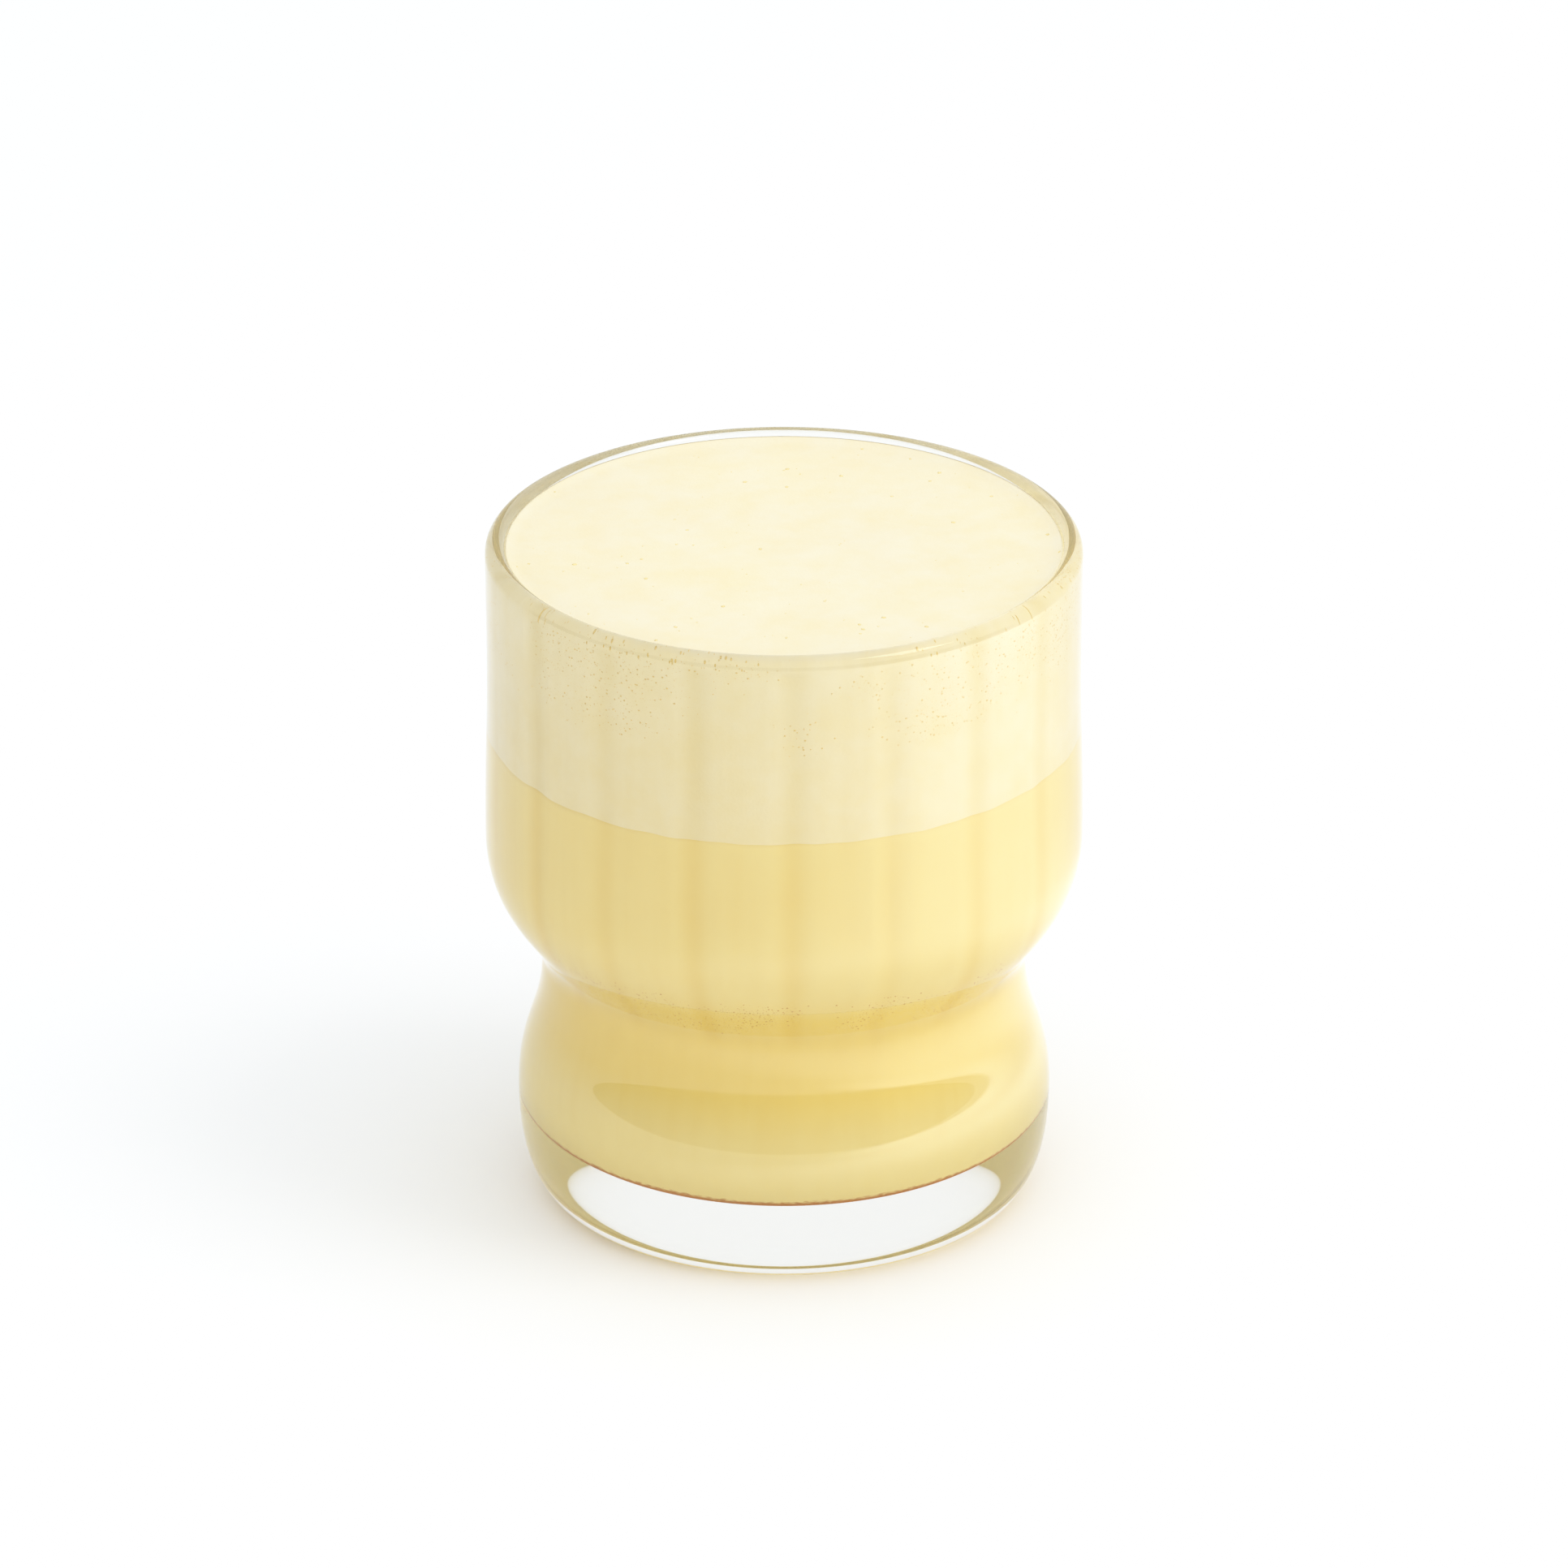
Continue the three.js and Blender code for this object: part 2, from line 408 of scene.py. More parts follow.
@dataclass(frozen=True)
class ClearGlass:
    """Soda lime glass, pressed in a mould and fire polished: clear, with a breath of straw in depth."""

    tint: str = "#F8F8F5"
    shade_tint: str = "#FBFAF6"
    ior: float = 1.5
    roughness: float = 0.0
    ripple_size: float = 16.0
    ripple_strength: float = 0.015

    def material(self) -> bpy.types.Material:
        """Builds the glass. Light for what is inside passes straight through it.

        Returns:
            The material.
        """
        # Fire-polished soda lime glass: clear and mirror smooth, with a faint ripple from its mould
        glass = bpy.data.materials.new("soda_lime_glass")
        glass.use_nodes = True
        tree = glass.node_tree
        tree.nodes.clear()
        place = add_node(tree, "ShaderNodeTexCoord").outputs["Object"]
        ripple = add_node(
            tree, "ShaderNodeTexNoise", {"Vector": place},
            {"Scale": 1 / (self.ripple_size * MM), "Detail": 1.0},
        )
        wavy = add_node(
            tree, "ShaderNodeBump", {"Height": ripple.outputs[0]},
            {"Strength": self.ripple_strength, "Distance": 1 * MM},
        )
        clear = add_node(
            tree, "ShaderNodeBsdfPrincipled", {"Normal": wavy.outputs[0]},
            {
                "Base Color": srgb(self.tint),
                "Roughness": self.roughness,
                "IOR": self.ior,
                "Transmission Weight": 1.0,
            },
        )
        through = add_node(tree, "ShaderNodeBsdfTransparent", values={"Color": srgb(self.shade_tint)})
        path = add_node(tree, "ShaderNodeLightPath")
        lit = add_node(
            tree, "ShaderNodeMixShader",
            {0: path.outputs["Is Shadow Ray"], 1: clear.outputs[0], 2: through.outputs[0]},
        )
        add_node(tree, "ShaderNodeOutputMaterial", {"Surface": lit.outputs[0]})
        return glass


@dataclass(frozen=True)
class RibShadeStreaks:
    """Painted shade along the moulded ribs, where what fills the glass lies in the grooves they press, with
    faint upright streaks of darker tone.
    """

    # Colour of the painted shade along the ribs
    tint: str
    strength: float = 0.4
    sharpness: float = 1.5
    faded_at: float = 32.0
    full_at: float = 38.0
    width: float = 1.6
    length: float = 40.0
    faint_share: float = 0.35
    faint_from: float = 0.4
    faint_to: float = 0.8

    def over(
        self, tree: bpy.types.NodeTree, colour: bpy.types.NodeSocket, place: bpy.types.NodeSocket
    ) -> bpy.types.NodeSocket:
        """Darkens a colour along the ribs, a painted shade, and in faint upright streaks between them.

        Args:
            tree: The material's tree.
            colour: The colour to start from.
            place: The place in the piece's own coordinates.

        Returns:
            The new colour's socket.
        """
        # Painted shade: darkest on each rib, fading out low in the glass
        share = add_node(tree, "ShaderNodeAttribute", attribute_name=RIB_SHARE).outputs["Fac"]
        level = add_node(tree, "ShaderNodeSeparateXYZ", {0: place}).outputs["Z"]
        fade = add_node(
            tree, "ShaderNodeMapRange", {"Value": level},
            {"From Min": self.faded_at * MM, "From Max": self.full_at * MM},
        )
        narrow = add_math(tree, "POWER", share, self.sharpness)
        narrow = add_math(tree, "MULTIPLY", narrow, fade.outputs[0])
        narrow = add_math(tree, "MULTIPLY", narrow, self.strength)
        stretch = (1 / (self.width * MM), 1 / (self.width * MM), 1 / (self.length * MM))
        drawn = add_node(
            tree, "ShaderNodeVectorMath", {0: place}, {1: stretch}, operation="MULTIPLY"
        ).outputs[0]
        faint = add_node(tree, "ShaderNodeTexNoise", {"Vector": drawn}, {"Scale": 1.0, "Detail": 3.0})
        faint = add_node(
            tree, "ShaderNodeMapRange", {"Value": faint.outputs[0]},
            {
                "From Min": self.faint_from,
                "From Max": self.faint_to,
                "To Max": self.strength * self.faint_share,
            },
        )
        amount = add_math(tree, "MAXIMUM", narrow, faint.outputs[0])
        return add_node(
            tree, "ShaderNodeMix", {"Factor": amount, 6: colour}, {7: srgb(self.tint)},
            data_type="RGBA", blend_type="MULTIPLY",
        ).outputs[2]


@dataclass(frozen=True)
class TurmericMilk:
    """Warm milk stirred with turmeric: opaque, smooth and pale gold, browner along its lowest edge."""

    light: str = "#FBE9A7"
    deep: str = "#F8E29B"
    # Painted shade round the waist, where the shoulder above and the dark room in front keep light off the
    # milk
    waist_shade: str = "#F8E08C"
    # Painted light low down: the light that reaches the milk through the clear base
    pale: str = "#FFEBA2"
    # Painted shade along the ribs in the milk
    streaks: RibShadeStreaks = RibShadeStreaks("#F4EAC8")
    edge_brown: str = "#CB8A48"
    cloud_size: float = 9.0
    waist_shade_levels: tuple[float, ...] = (20.0, 26.5, 40.5, 45.0)
    lit_bottom_levels: tuple[float, ...] = (9.0, 10.0, 14.0, 21.0)
    edge_brown_below: float = 10.5
    edge_brown_fade: float = 0.6
    edge_brown_spread: float = 0.7
    edge_brown_ring: float = 24.6
    grain_size: float = 0.7
    roughness: float = 0.55
    shine: float = 0.0

    @staticmethod
    def band(tree: bpy.types.NodeTree, level: Any, levels: tuple[float, ...]) -> bpy.types.NodeSocket:
        """Gives 1 between the two middle levels and fades to 0 at the outer ones.

        Args:
            tree: The material's tree.
            level: The height in the piece's own coordinates.
            levels: The four levels in millimetres, from the lowest up.

        Returns:
            The share's socket.
        """
        low, full_low, full_high, high = (value * MM for value in levels)
        rise = add_node(
            tree, "ShaderNodeMapRange", {"Value": level}, {"From Min": low, "From Max": full_low}
        )
        fall = add_node(
            tree, "ShaderNodeMapRange", {"Value": level}, {"From Min": high, "From Max": full_high}
        )
        return add_math(tree, "MULTIPLY", rise.outputs[0], fall.outputs[0])

    def material(self) -> bpy.types.Material:
        """Builds the milk, with soft clouds of spice, a painted shade round the waist, painted light low
        down and a brown rim at its lowest edge.

        Returns:
            The material.
        """
        # Milk with turmeric behind glass: matte and even, because the glass wets it and takes its shine
        milk = bpy.data.materials.new("turmeric_milk")
        milk.use_nodes = True
        tree = milk.node_tree
        shader = tree.nodes["Principled BSDF"]
        place = add_node(tree, "ShaderNodeTexCoord").outputs["Object"]
        level = add_node(tree, "ShaderNodeSeparateXYZ", {0: place}).outputs["Z"]
        cloud = add_node(
            tree, "ShaderNodeTexNoise", {"Vector": place},
            {"Scale": 1 / (self.cloud_size * MM), "Detail": 4.0, "Roughness": 0.6},
        )
        gold = add_node(
            tree, "ShaderNodeMix", {"Factor": cloud.outputs[0]},
            {6: srgb(self.light), 7: srgb(self.deep)}, data_type="RGBA",
        ).outputs[2]
        # Painted shade round the waist, then painted light low down
        for levels, tone in ((self.waist_shade_levels, self.waist_shade), (self.lit_bottom_levels, self.pale)):
            share = self.band(tree, level, levels)
            gold = add_node(
                tree, "ShaderNodeMix", {"Factor": share, 6: gold}, {7: srgb(tone)}, data_type="RGBA"
            ).outputs[2]
        ribbed = self.streaks.over(tree, gold, place)
        # Browner along the milk's lowest edge, outside the flat of the floor, with a ragged upper border
        grain = add_node(
            tree, "ShaderNodeTexNoise", {"Vector": place},
            {"Scale": 1 / (self.grain_size * MM), "Detail": 3.0},
        )
        ragged = add_math(tree, "SUBTRACT", 0.5, grain.outputs[0])
        ragged = add_math(tree, "MULTIPLY_ADD", ragged, self.edge_brown_spread * 2 * MM, level)
        edge_band = add_node(
            tree, "ShaderNodeMapRange", {"Value": ragged},
            {
                "From Min": self.edge_brown_below * MM,
                "From Max": (self.edge_brown_below + self.edge_brown_fade) * MM,
                "To Min": 1.0,
                "To Max": 0.0,
            },
        )
        flat = add_node(
            tree, "ShaderNodeVectorMath", {0: place}, {1: (1.0, 1.0, 0.0)}, operation="MULTIPLY"
        ).outputs[0]
        radius = add_node(tree, "ShaderNodeVectorMath", {0: flat}, operation="LENGTH").outputs["Value"]
        ring = add_math(tree, "GREATER_THAN", radius, self.edge_brown_ring * MM)
        brown = add_math(tree, "MULTIPLY", edge_band.outputs[0], ring)
        colour = add_node(
            tree, "ShaderNodeMix", {"Factor": brown, 6: ribbed},
            {7: srgb(self.edge_brown)}, data_type="RGBA",
        )
        tree.links.new(colour.outputs[2], shader.inputs["Base Color"])
        shader.inputs["Roughness"].default_value = self.roughness
        shader.inputs["Specular IOR Level"].default_value = self.shine
        return milk


@dataclass(frozen=True)
class MilkFoam:
    """Steamed milk foam: dense, matte and cream white, with its top and its side given tuned tones, a
    painted light and shade for how differently light falls on them.
    """

    # The top and the side are tuned copies of one foam colour: painted light and shade, not a change in the
    # foam
    top_light: str = "#F1E8CC"
    top_deep: str = "#F1E4C0"
    side_light: str = "#FAEEC9"
    side_deep: str = "#F8E9BA"
    # Painted shade along the ribs in the foam
    streaks: RibShadeStreaks = RibShadeStreaks("#F2ECD2")
    patch_size: float = 7.0
    patch_from: float = 0.35
    patch_to: float = 0.7
    bubble_size: float = 0.45
    bubble_depth: float = 0.05
    bubble_strength: float = 0.35
    side_tone_until: float = 94.2
    top_tone_from: float = 94.9
    roughness: float = 0.8
    shine: float = 0.15

    def material(self) -> bpy.types.Material:
        """Builds the foam, with faint yellow patches and a grain of fine bubbles.

        Returns:
            The material.
        """
        # Steamed milk foam: dense and matte, a skin of bubbles too fine to see one by one
        foam = bpy.data.materials.new("steamed_milk_foam")
        foam.use_nodes = True
        tree = foam.node_tree
        shader = tree.nodes["Principled BSDF"]
        place = add_node(tree, "ShaderNodeTexCoord").outputs["Object"]
        level = add_node(tree, "ShaderNodeSeparateXYZ", {0: place}).outputs["Z"]
        patch = add_node(
            tree, "ShaderNodeTexNoise", {"Vector": place},
            {"Scale": 1 / (self.patch_size * MM), "Detail": 5.0, "Roughness": 0.65},
        )
        patchy = add_node(
            tree, "ShaderNodeMapRange", {"Value": patch.outputs[0]},
            {"From Min": self.patch_from, "From Max": self.patch_to},
        )
        top = add_node(
            tree, "ShaderNodeMix", {"Factor": patchy.outputs[0]},
            {6: srgb(self.top_light), 7: srgb(self.top_deep)}, data_type="RGBA",
        )
        side = add_node(
            tree, "ShaderNodeMix", {"Factor": patchy.outputs[0]},
            {6: srgb(self.side_light), 7: srgb(self.side_deep)}, data_type="RGBA",
        )
        ribbed = self.streaks.over(tree, side.outputs[2], place)
        # Painted light and shade: the side's tone gives way to the top's at the top's edge
        top_share = add_node(
            tree, "ShaderNodeMapRange", {"Value": level},
            {"From Min": self.side_tone_until * MM, "From Max": self.top_tone_from * MM},
        )
        colour = add_node(
            tree, "ShaderNodeMix", {"Factor": top_share.outputs[0], 6: ribbed, 7: top.outputs[2]},
            data_type="RGBA",
        )
        # Real bubbles are under 0.1 mm across and are drawn larger, so that their grain shows
        bubbles = add_node(
            tree, "ShaderNodeTexVoronoi", {"Vector": place}, {"Scale": 1 / (self.bubble_size * MM)}
        )
        grain = add_node(
            tree, "ShaderNodeBump", {"Height": bubbles.outputs["Distance"]},
            {"Strength": self.bubble_strength, "Distance": self.bubble_depth * MM},
        )
        tree.links.new(colour.outputs[2], shader.inputs["Base Color"])
        tree.links.new(grain.outputs[0], shader.inputs["Normal"])
        shader.inputs["Roughness"].default_value = self.roughness
        shader.inputs["Specular IOR Level"].default_value = self.shine
        return foam


@dataclass(frozen=True)
class GroundSpice:
    """Ground turmeric and other spice, swollen in milk: soft matte grains."""

    name: str
    colour: str
    patch_size: float = 2.5
    darkest: float = 0.88
    lightest: float = 1.1
    roughness: float = 0.7
    shine: float = 0.1

    def material(self) -> bpy.types.Material:
        """Builds the grains' finish, a little uneven from grain to grain.

        Returns:
            The material.
        """
        # Ground turmeric swollen in milk: soft matte grains that melt into what they lie in
        spice = bpy.data.materials.new(self.name)
        spice.use_nodes = True
        tree = spice.node_tree
        shader = tree.nodes["Principled BSDF"]
        place = add_node(tree, "ShaderNodeTexCoord").outputs["Object"]
        uneven = add_node(
            tree, "ShaderNodeTexNoise", {"Vector": place}, {"Scale": 1 / (self.patch_size * MM)}
        )
        value = add_node(
            tree, "ShaderNodeMapRange", {"Value": uneven.outputs[0]},
            {"To Min": self.darkest, "To Max": self.lightest},
        )
        tone = add_node(
            tree, "ShaderNodeHueSaturation", {"Value": value.outputs[0]}, {"Color": srgb(self.colour)}
        )
        tree.links.new(tone.outputs[0], shader.inputs["Base Color"])
        shader.inputs["Roughness"].default_value = self.roughness
        shader.inputs["Specular IOR Level"].default_value = self.shine
        return spice


@dataclass(frozen=True)
class SpeckScatter:
    """Specks strewn over part of a surface, more of them where a soft cloud says so.

    Smallest and largest are across a speck, and low and high are the levels between which they lie.
    """

    name: str
    finish: GroundSpice
    facing: Facing
    per_square_metre: float
    smallest: float
    largest: float
    flatness: float
    low: float
    high: float
    seed: int
    cloud_size: float = 14.0
    cloud_floor: float = 0.45
    cloud_full: float = 0.65
    rarity: float = 3.0
    narrowness: float = 0.8

    @staticmethod
    def tree() -> bpy.types.GeometryNodeTree:
        """Builds the tree that strews grains over the chosen faces of a mesh.

        Returns:
            The geometry tree.
        """
        names = ("Density", "Smallest", "Largest", "Flatness", "Low", "High", "Least Rise", "Most Rise")
        names += ("Cloud Scale", "Cloud Floor", "Cloud Full", "Rarity", "Narrowness")
        inputs = {**dict.fromkeys(names, "Float"), "Seed": "Int", "Finish": "Material"}
        tree, given = new_tree("strewn_specks", inputs)
        place = add_node(tree, "GeometryNodeInputPosition").outputs[0]
        level = add_node(tree, "ShaderNodeSeparateXYZ", {0: place}).outputs["Z"]
        normal = add_node(tree, "GeometryNodeInputNormal").outputs[0]
        rise = add_node(tree, "ShaderNodeSeparateXYZ", {0: normal}).outputs["Z"]
        chosen = add_math(tree, "GREATER_THAN", rise, given["Least Rise"])
        for value, limit, operation in (
            (rise, given["Most Rise"], "LESS_THAN"),
            (level, given["Low"], "GREATER_THAN"),
            (level, given["High"], "LESS_THAN"),
        ):
            chosen = add_math(tree, "MULTIPLY", chosen, add_math(tree, operation, value, limit))
        cloud = add_node(
            tree, "ShaderNodeTexNoise", {"Vector": place, "Scale": given["Cloud Scale"], "W": given["Seed"]},
            noise_dimensions="4D",
        )
        share = add_node(
            tree, "ShaderNodeMapRange",
            {"Value": cloud.outputs[0], "From Min": given["Cloud Floor"], "From Max": given["Cloud Full"]},
        )
        density = add_math(tree, "MULTIPLY", given["Density"], share.outputs[0])
        density = add_math(tree, "MULTIPLY", density, chosen)
        points = add_node(
            tree, "GeometryNodeDistributePointsOnFaces",
            {"Mesh": given["Geometry"], "Density": density, "Seed": given["Seed"]},
        )
        grain = add_node(tree, "GeometryNodeMeshIcoSphere", values={"Radius": 1.0, "Subdivisions": 1})
        chance = add_node(
            tree, "FunctionNodeRandomValue", {"Seed": given["Seed"]}, data_type="FLOAT"
        ).outputs[1]
        rare = add_math(tree, "POWER", chance, given["Rarity"])
        span = add_math(tree, "SUBTRACT", given["Largest"], given["Smallest"])
        size = add_math(tree, "MULTIPLY_ADD", rare, span, given["Smallest"])
        flat = add_math(tree, "MULTIPLY", size, given["Flatness"])
        narrow = add_math(tree, "MULTIPLY", size, given["Narrowness"])
        scale = add_node(tree, "ShaderNodeCombineXYZ", {"X": size, "Y": narrow, "Z": flat}).outputs[0]
        strewn = add_node(
            tree, "GeometryNodeInstanceOnPoints",
            {
                "Points": points.outputs["Points"],
                "Instance": grain.outputs["Mesh"],
                "Rotation": points.outputs["Rotation"],
                "Scale": scale,
            },
        )
        close_tree(tree, strewn.outputs[0], given["Finish"])
        return tree

    def strew(self, carrier: bpy.types.Object) -> bpy.types.Object:
        """Strews the specks over a carrier.

        Args:
            carrier: The piece whose surface carries them.

        Returns:
            The specks, joined in one new piece.
        """
        tree = bpy.data.node_groups.get("strewn_specks") or self.tree()
        specks = bpy.data.objects.new(self.name, carrier.data.copy())
        bpy.context.scene.collection.objects.link(specks)
        finish = self.finish.material()
        values = {
            "Density": self.per_square_metre,
            "Smallest": self.smallest / 2 * MM,
            "Largest": self.largest / 2 * MM,
            "Flatness": self.flatness,
            "Low": self.low * MM,
            "High": self.high * MM,
            "Least Rise": self.facing.value[0],
            "Most Rise": self.facing.value[1],
            "Cloud Scale": 1 / (self.cloud_size * MM),
            "Cloud Floor": self.cloud_floor,
            "Cloud Full": self.cloud_full,
            "Rarity": self.rarity,
            "Narrowness": self.narrowness,
            "Seed": self.seed,
            "Finish": finish,
        }
        return bake_tree(specks, tree, values)


@dataclass(frozen=True)
class Tumbler:
    """The waisted glass with its heavy base, ribs and round lip.

    A point is a radius and a level. A pull is how far the outline keeps its direction there.
    """

    rim_radius: float = 41.0
    lip_wall: float = 3.0
    foot_radius: float = 32.32
    foot_edge: float = 0.55
    flank_slope: float = math.radians(35.6)
    bulge: Point = (37.0, 14.4)
    waist: Point = (33.6, 34.0)
    shoulder: Point = (41.3, 53.3)
    wall: Point = (40.9, 79.5)
    lip_outer: float = 1.7
    lip_inner: float = 1.2
    inner_shoulder: Point = (38.2, 53.5)
    inner_waist: Point = (30.9, 34.5)
    inner_bulge: Point = (33.0, 20.0)
    inner_floor_radius: float = 24.5
    base_thickness: float = 9.5
    flank_pull: float = 4.1
    bulge_pull: float = 6.3
    above_bulge_pull: float = 9.1
    waist_pull: float = 5.7
    shoulder_pull: float = 11.7
    wall_pull: float = 11.8
    rim_pull: float = 6.0
    inner_floor_pull: float = 4.7
    inner_bulge_pull: float = 5.8
    above_inner_bulge_pull: float = 5.5
    inner_waist_pull: float = 5.0
    inner_shoulder_pull: float = 11.5
    above_inner_shoulder_pull: float = 13.0
    inner_wall_pull: float = 10.0
    columns: int = 360
    ribs: RibMould = field(default_factory=RibMould)
    finish: ClearGlass = field(default_factory=ClearGlass)

    @property
    def height(self) -> float:
        """Height of the glass, read from its solid."""
        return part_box(Part.GLASS.value)[1].z / MM

    @property
    def bore(self) -> float:
        """Inner radius at the lip."""
        return self.rim_radius - self.lip_wall

    def outside(self) -> np.ndarray:
        """Draws the outside, from the centre of the foot to the crown of the lip.

        Returns:
            Its points.
        """
        edge = (self.foot_radius, self.foot_edge)
        foot = bend(edge, self.foot_edge, -90, -90 + math.degrees(self.flank_slope), steps=8)
        slope, pull = self.flank_slope, self.flank_pull
        flank = (pull * math.cos(slope), pull * math.sin(slope))
        bulge, over = (0, self.bulge_pull), (0, self.above_bulge_pull)
        waist, shoulder = (0, self.waist_pull), (0, self.shoulder_pull)
        wall, crown = (0, self.wall_pull), (0, self.rim_pull)
        lip = (self.rim_radius - self.lip_outer, self.height - self.lip_outer)
        rim = (self.rim_radius, lip[1])
        return chain(
            (0, 0),
            (self.foot_radius * 0.5, 0),
            foot,
            flow(tuple(foot[-1]), flank, self.bulge, bulge, steps=20),
            flow(self.bulge, over, self.waist, over, steps=26),
            flow(self.waist, waist, self.shoulder, shoulder, steps=30),
            flow(self.shoulder, wall, self.wall, wall, steps=14),
            flow(self.wall, crown, rim, crown, steps=8),
            bend(lip, self.lip_outer, 0, 90, steps=10),
        )

    def inside(self) -> np.ndarray:
        """Draws the inside, from the centre of the well to the crown of the lip.

        Returns:
            Its points, of which the first two lie on the flat floor.
        """
        floor_edge = (self.inner_floor_radius, self.base_thickness)
        full = (self.bore, self.ribs.full_below)
        lip = (self.bore + self.lip_inner, self.height - self.lip_inner)
        along, corner = (self.inner_floor_pull, 0), (0, self.inner_bulge_pull)
        bulge, waist = (0, self.above_inner_bulge_pull), (0, self.inner_waist_pull)
        shoulder, over = (0, self.inner_shoulder_pull), (0, self.above_inner_shoulder_pull)
        wall = (0, self.inner_wall_pull)
        return chain(
            (0, self.base_thickness),
            (floor_edge[0] * 0.5, self.base_thickness),
            flow(floor_edge, along, self.inner_bulge, corner, steps=24),
            flow(self.inner_bulge, bulge, self.inner_waist, bulge, steps=18),
            flow(self.inner_waist, waist, self.inner_shoulder, shoulder, steps=28),
            flow(self.inner_shoulder, over, full, wall, steps=24),
            [(self.bore, z) for z in np.linspace(self.ribs.full_below, self.ribs.start, 6)],
            bend(lip, self.lip_inner, 180, 90, steps=8),
        )

    def fill(self, reach: float) -> np.ndarray:
        """Draws what fills the glass, grown into the wall by a reach.

        Args:
            reach: How far it goes into the wall, in millimetres.

        Returns:
            The outline from the centre of its underside up to the lip.
        """
        wall = self.inside()
        along = np.gradient(wall, axis=0)
        along /= np.linalg.norm(along, axis=1)[:, None]
        grown = wall + reach * np.stack([along[:, 1], -along[:, 0]], 1)
        grown[0, 0] = 0
        return grown

    def build(self) -> bpy.types.Object:
        """Builds the glass as one closed wall with its ribs.

        Returns:
            The glass, on its body.
        """
        outside, inside = self.outside(), self.inside()[::-1]
        outline = chain(outside, inside)
        ribbed = np.arange(len(outline)) >= len(outside)
        glass = turn_outline("tumbler", outline, self.columns, ribbed)
        self.ribs.press(glass, self.finish.material())
        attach(glass, "root")
        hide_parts(Part.GLASS.value)
        return glass


@dataclass(frozen=True)
class FoamLine:
    """The slightly wavy line round the glass where the foam floats on the milk."""

    level: float = 68.2
    swing: float = 0.2
    ripple: float = 0.07
    slow_waves: tuple[tuple[float, int, float], ...] = ((1.0, 1, 0.2), (0.5, 3, -0.4), (0.35, 5, 1.9))
    fine_waves: tuple[int, int, int] = (23, 37, 11)

    def at(self, angle: np.ndarray) -> np.ndarray:
        """Gives the line's height over its mean level at each angle.

        Args:
            angle: Angles round the glass in radians.

        Returns:
            The heights in millimetres.
        """
        slow = sum(share * np.sin(count * angle + start) for share, count, start in self.slow_waves)
        even, quick, beat = self.fine_waves
        fine = np.sin(even * angle) + np.sin(quick * angle + 1.0) * np.sin(beat * angle)
        return self.swing * slow + self.ripple * fine


@dataclass(frozen=True)
class MilkBody:
    """The golden milk, up to a little above the line where the foam hides it."""

    tumbler: Tumbler
    line: FoamLine
    reach: float = 0.12
    under_foam: float = 0.6
    line_depth: float = 8.0
    wall_share: float = 0.6
    least_step: float = 0.3
    columns: int = 360
    finish: TurmericMilk = field(default_factory=TurmericMilk)

    def build(self) -> bpy.types.Object:
        """Builds the milk, pressed by the ribs.

        Returns:
            The milk, on its body.
        """
        wall = self.tumbler.fill(self.reach)
        surface = self.line.level + self.under_foam
        below = wall[wall[:, 1] < surface - self.least_step]
        radius = float(np.interp(surface, wall[2:, 1], wall[2:, 0]))
        outline = chain(below, (radius, surface), (radius * 0.5, surface), (0, surface))
        ribbed = outline[:, 0] > self.tumbler.bore * self.wall_share

        def lift(_: np.ndarray, level: np.ndarray, angle: np.ndarray) -> np.ndarray:
            """Follows the foam's line near the surface, in millimetres."""
            share = np.clip((level - surface + self.line_depth) / self.line_depth, 0, 1) ** 2
            return share * self.line.at(angle)

        milk = turn_outline("golden_milk", outline, self.columns, ribbed, lift)
        self.tumbler.ribs.press(milk, self.finish.material())
        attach(milk, "root")
        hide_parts(Part.MILK.value)
        return milk


@dataclass(frozen=True)
class Wave:
    """A wave over the foam's top, by its turn in radians for each millimetre."""

    to_right: float
    to_back: float
    start: float = 0.0

    def turn(self, x: np.ndarray, y: np.ndarray) -> np.ndarray:
        """Gives how far the wave has turned at places in millimetres."""
        return self.to_right * x + self.to_back * y + self.start


